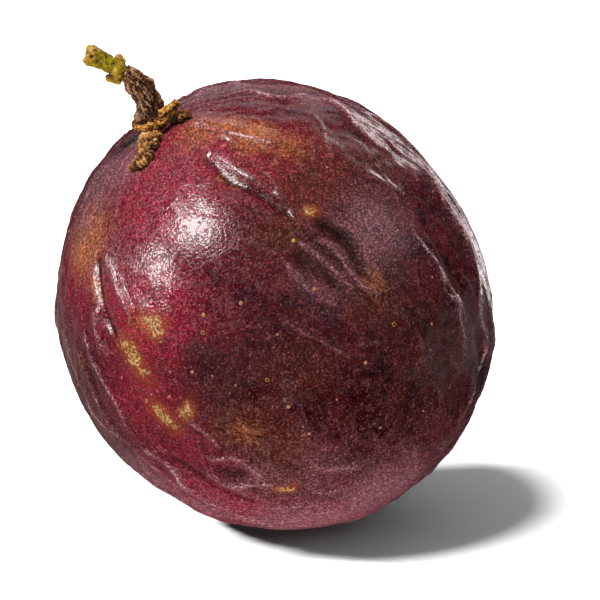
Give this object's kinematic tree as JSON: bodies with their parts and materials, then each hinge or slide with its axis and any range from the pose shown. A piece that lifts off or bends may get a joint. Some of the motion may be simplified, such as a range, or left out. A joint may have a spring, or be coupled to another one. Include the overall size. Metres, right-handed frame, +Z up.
{
  "type": "passion fruit",
  "caption": "Ripe purple passion fruit with a leathery, lightly shrivelled rind, its corky stalk and dried sepals, resting on a small flat spot.",
  "frame": {"origin": "middle of the flat spot on the rind that the fruit rests on", "axes": "+Z up as the fruit lies; the stalk leans 32 degrees from +Z towards -X and 9 degrees towards -Y, the front"},
  "size_m": [0.0523, 0.0511, 0.0595],
  "materials": {
    "rind": "waxy, leathery, semi-gloss",
    "cork_stalk": "rough fissured cork",
    "green_stem": "satin, yellow green",
    "dry_sepal": "dry, crumbly, matt"
  },
  "bodies": {
    "root": {"fruit": "rind", "stalk": "cork_stalk", "peduncle_stub": "green_stem", "bract_stub_upper": "green_stem", "bract_stub_lower": "green_stem", "bract_stub_back": "green_stem", "dried_sepal_strap": "dry_sepal", "dried_sepal_lump": "dry_sepal", "dried_sepal_tongue": "dry_sepal", "dried_sepal_side": "dry_sepal", "dried_sepal_back": "dry_sepal"}
  },
  "joints": []
}
